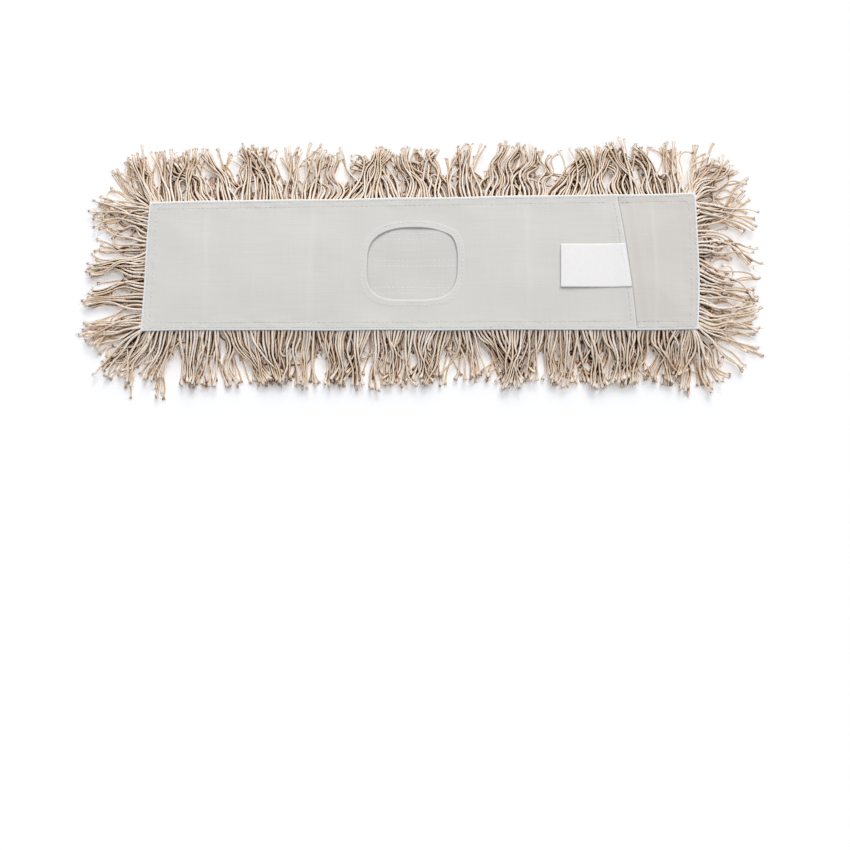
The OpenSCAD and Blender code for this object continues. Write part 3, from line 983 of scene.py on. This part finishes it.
def fringe_side(rng, half, depth, side):
    """Strands along one straight seam, in layers: plan paths and the layer of each."""
    place, layer = fringe_places(rng, half, side.density)
    clump, offset = clumps_of(rng, place, half, side.clump_l)
    low = layer > 1
    apart, offset[low] = clumps_of(rng, place[low], half, side.clump_l)
    clump[low] = clump.max() + 1 + apart
    way = math.radians(side.turn)
    out = np.array([math.cos(way), math.sin(way)])
    along = np.array([-out[1], out[0]])
    lean = -0.28 * np.sign(place) * smoothstep(half - 45, half + 8, np.abs(place))
    lean = lean + 0.16 * side.wild * waves(rng, 4, 70, 190)(place, 0 * place)
    root = place[:, None] * along + (depth - ROOT_DEPTH) * out
    length = fringe_lengths(rng, layer, clump, side)
    drawn = rng.uniform(side.loose, side.tight, clump.max() + 1)[clump] * offset
    wild = side.wild * np.where(layer > 2, 0.3, 1)
    x, y = headings(rng, root, length, way - lean, clump, drawn[:, None] * along, wild, FRINGE_POINTS)
    return x, y, layer


def fringe_corner(rng, sx, sy):
    """Strands that fan out round one corner: plan paths and the layer of each."""
    n = TUFT_STRANDS
    share = rng.permutation(np.linspace(-1, 1, n))
    root = np.tile([sx * (HALF_L - ROOT_DEPTH * 0.7), sy * (HALF_W - ROOT_DEPTH * 0.7)], (n, 1))
    root[:, 0] -= sx * TUFT_L * np.clip(-share, 0, 1)
    root[:, 1] -= sy * TUFT_L * np.clip(share, 0, 1)
    base = math.atan2(sy, sx) - sx * sy * math.pi / 4 * share * 0.92 + rng.normal(0, 0.08, n)
    length = FRINGE_REACH + ROOT_DEPTH - 3 + rng.normal(0, 5, n)
    clump = np.argsort(np.argsort(share)) // 4
    middle = np.array([base[clump == number].mean() for number in range(clump.max() + 1)])[clump]
    base = middle + 0.5 * (base - middle)
    x, y = headings(rng, root, length, base, clump, np.zeros((n, 2)), 1.5, FRINGE_POINTS)
    return x, y, np.arange(n) % len(SPACING)


def fringe_heights(layer):
    """First heights along the strands: out of the seam, then down towards the floor."""
    fall = smoothstep(0.1, 0.8, np.linspace(0, 1, FRINGE_POINTS))[None]
    root, tip = ROOT_Z[layer][:, None], TIP_Z[layer][:, None]
    return root + (tip - root) * fall


def make_fringe(yarn):
    """All fringe strands, settled together and then split into one piece for each fringe run and corner tuft.
    """
    parts = {}
    for number, (name, side) in enumerate(SIDES.items()):
        half, depth = (HALF_W, HALF_L) if name in ("left", "right") else (HALF_L, HALF_W)
        parts[f"fringe_{name}"] = fringe_side(rng_for(20 + number), half - TUFT_L, depth, side)
    for number, (name, (sx, sy)) in enumerate(CORNERS.items()):
        parts[f"tuft_{name}"] = fringe_corner(rng_for(30 + number), sx, sy)
    x, y, layer = (np.concatenate(values) for values in zip(*parts.values()))
    wide, deep = drift(x, y)
    paths = np.stack([wide, deep, fringe_heights(layer)], axis=2)
    paths = settle(paths, YARN_R, 60, 3, 40.0, 0.04, 0.35)
    ends = np.cumsum([len(part[0]) for part in parts.values()])
    for number, (name, mine) in enumerate(zip(parts, np.split(paths, ends[:-1]))):
        verts, faces, uv, tint = tube_mesh(mine, YARN_R, 7, rng_for(40 + number), 1.2, 8)
        piece = add_piece(f"{name}_yarn", verts, faces, yarn, uv, tint)
        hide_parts(name)
        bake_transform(piece)


# Pile: points of a strand, distance between strands, radius, strands in a clump, bare length at the ends of a
# row, and the height over the floor up to which strands run
PILE_POINTS = 14
PILE_PITCH = 2.15
PILE_R = 1.6
PILE_CLUMP = 6
PILE_END = 8
PILE_TOP = 11.5


def turned_back(value, limit, soft=3.0):
    """Places along one axis, of which those past the limit are turned back inside it in a soft bend."""
    past = np.abs(value) - limit
    return np.sign(value) * (limit - soft * np.logaddexp(past / soft, -past / soft))


def pile_roots(rng):
    """Places of strands along both stitch lines of each row, and the row of each."""
    roots, rows = [], []
    for number, row in enumerate(ROW_Y):
        for side in (-1, 1):
            x = np.arange(-HALF_L + PILE_END, HALF_L - PILE_END, PILE_PITCH)
            x = x + rng.normal(0, 0.8, len(x))
            y = row + side * ROW_GAP / 2 + rng.normal(0, 0.6, len(x))
            roots.append(np.stack([x, y], axis=1))
            rows.append(np.full(len(x), number))
    return np.concatenate(roots), np.concatenate(rows)


def pile_paths(rng, root, row):
    """First paths of the pile's strands: away from their rows, down to the floor, and back from the edges."""
    n = len(root)
    outer = np.sign(root[:, 1] - np.array(ROW_Y)[row])
    clump = np.arange(n) // PILE_CLUMP
    by_edge = np.abs(root[:, 1]) > max(ROW_Y)
    alone = np.arange(n) % 3 < 1 + by_edge
    by_end = (np.abs(root[:, 0]) > HALF_L - 28) & (np.arange(n) % 2 == 0)
    outward = np.where(alone, -outer, outer) * math.pi / 2
    outward = np.where(by_end, np.where(root[:, 0] > 0, 0, math.pi), outward)
    base = outward + rng.normal(0, 0.9, clump.max() + 1)[clump] + rng.normal(0, 0.2 + 0.7 * alone, n)
    length = rng.uniform(28, 44, n) * np.where(by_edge & ~alone, 0.7, 1)
    x, y = headings(rng, root, length, base, clump, np.zeros((n, 2)), 2.2, PILE_POINTS)
    inset = rng.uniform(-2, 8, (2, n, 1))
    x, y = turned_back(x, HALF_L - inset[0]), turned_back(y, HALF_W - inset[1])
    s = np.linspace(0, 1, PILE_POINTS)[None]
    deep = rng.uniform(PILE_R, PILE_TOP, (n, 1))
    fall = smoothstep(0, 0.42, s)
    z = (BASE_BOTTOM - 0.8) * (1 - fall) + deep * fall - 0.8 * (deep - PILE_R) * smoothstep(0.5, 1, s)
    return np.stack([x, y, z], axis=2)


def make_pile(yarn):
    """Rows of cut yarn that lie in all directions between the base cloth and the floor."""
    rng = rng_for(60)
    root, row = pile_roots(rng)
    ceiling = BASE_BOTTOM - CLOTH - PILE_R
    paths = settle(pile_paths(rng, root, row), PILE_R, 45, 1, ceiling, 0.03, 0.3)
    for number in range(len(ROW_Y)):
        verts, faces, uv, tint = tube_mesh(paths[row == number], PILE_R, 6, rng_for(70 + number), 0.8, 4)
        piece = add_piece(f"yarn_row_{number + 1}_pile", verts, faces, yarn, uv, tint)
        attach(piece, "pocket")
        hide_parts(f"yarn_row_{number + 1}")


# Stage

TILT = math.radians(10)
ROLL = -0.0073
FIELD = math.radians(40)
CAMERA_TARGET = Vector((0.0033, -0.1856, 0.0))
CAMERA_DISTANCE = 1.329
FLOOR_SIZE = 8
# Dome: its colour, the light it gives, and how much brighter it is to the eye
DOME_COLOUR = (0.95, 0.97, 1.01, 1)
DOME_LIGHT = 0.38
DOME_SEEN = 0.75
# Broad distant lamps: direction from the mop, strength, angle in degrees, colour
LAMPS = {
    "overhead": ((0.15, 0.1, 1), 0.75, 20, (1, 0.99, 0.98)),
    "from_behind": ((0.22, 0.9, 1), 1.08, 30, (1.03, 0.985, 0.94)),
    "low_behind": ((0.1, 1, 0.5), 1.05, 40, (1.03, 0.985, 0.94)),
    "from_below": ((0.3, 0.3, -1), 2.1, 30, (1, 0.99, 0.98)),
}


def make_camera(scene):
    """Camera at the viewing angle of the photograph."""
    camera = bpy.data.objects.new("camera", bpy.data.cameras.new("camera"))
    scene.collection.objects.link(camera)
    camera.data.sensor_fit = "HORIZONTAL"
    camera.data.angle = FIELD
    back = Vector((0, -math.sin(TILT), math.cos(TILT)))
    turn = Matrix.Rotation(TILT, 4, "X") @ Matrix.Rotation(ROLL, 4, "Z")
    camera.matrix_world = Matrix.Translation(CAMERA_TARGET + CAMERA_DISTANCE * back) @ turn
    scene.camera = camera


def make_floor():
    """White floor."""
    bpy.ops.mesh.primitive_plane_add(size=FLOOR_SIZE, location=(0, 0, 0))
    floor = bpy.context.object
    floor.name = "floor"
    floor.data.materials.append(floor_material())


def make_dome(scene):
    """Soft light from all round, white to the eye."""
    scene.world = bpy.data.worlds.new("dome")
    tree = Tree(scene.world)
    background = tree.nodes["Background"].inputs
    background["Color"].default_value = DOME_COLOUR
    white = tree.op("MULTIPLY", tree.node("LightPath", "Is Camera Ray"), DOME_SEEN)
    tree.feed(background["Strength"], tree.op("ADD", white, DOME_LIGHT))


def make_lamp(scene, name, toward, strength, angle, colour):
    """A broad distant lamp that stands in the given direction from the mop."""
    lamp = bpy.data.objects.new(name, bpy.data.lights.new(name, "SUN"))
    scene.collection.objects.link(lamp)
    lamp.data.energy = strength
    lamp.data.angle = math.radians(angle)
    lamp.data.color = colour
    lamp.rotation_euler = Vector(toward).to_track_quat("Z", "Y").to_euler()


def make_stage():
    """Camera, white floor, soft dome and broad lamps."""
    scene = bpy.context.scene
    scene.view_settings.view_transform = "Standard"
    make_camera(scene)
    make_floor()
    make_dome(scene)
    for name, lamp in LAMPS.items():
        make_lamp(scene, name, *lamp)


def main():
    """The stage, the materials and then the mop's pieces."""
    make_stage()
    canvas = canvas_material("canvas", linear(207, 207, 204), linear(219, 219, 215))
    panel_canvas = canvas_material("end_canvas", linear(205, 203, 199), linear(216, 214, 210))
    base_canvas = canvas_material("base_canvas", linear(202, 202, 199), linear(218, 218, 214))
    fringe_yarn = yarn_material("fringe_yarn", linear(219, 193, 163), linear(255, 247, 237), 0.28, 0.64)
    pile_yarn = yarn_material("pile_yarn", linear(226, 207, 182), linear(255, 253, 250), 0.26, 0.68)
    hem_thread = thread_material("hem_thread", linear(222, 223, 224), linear(232, 232, 232),
                                 linear(194, 196, 198))
    row_thread = thread_material("row_thread", linear(238, 238, 236), linear(250, 250, 248),
                                 linear(236, 236, 234))
    make_base(base_canvas)
    make_end_panel(panel_canvas)
    make_cover(canvas)
    make_rim(canvas)
    make_all_stitches(hem_thread, row_thread)
    make_label(label_material())
    make_fringe(fringe_yarn)
    make_pile(pile_yarn)


main()
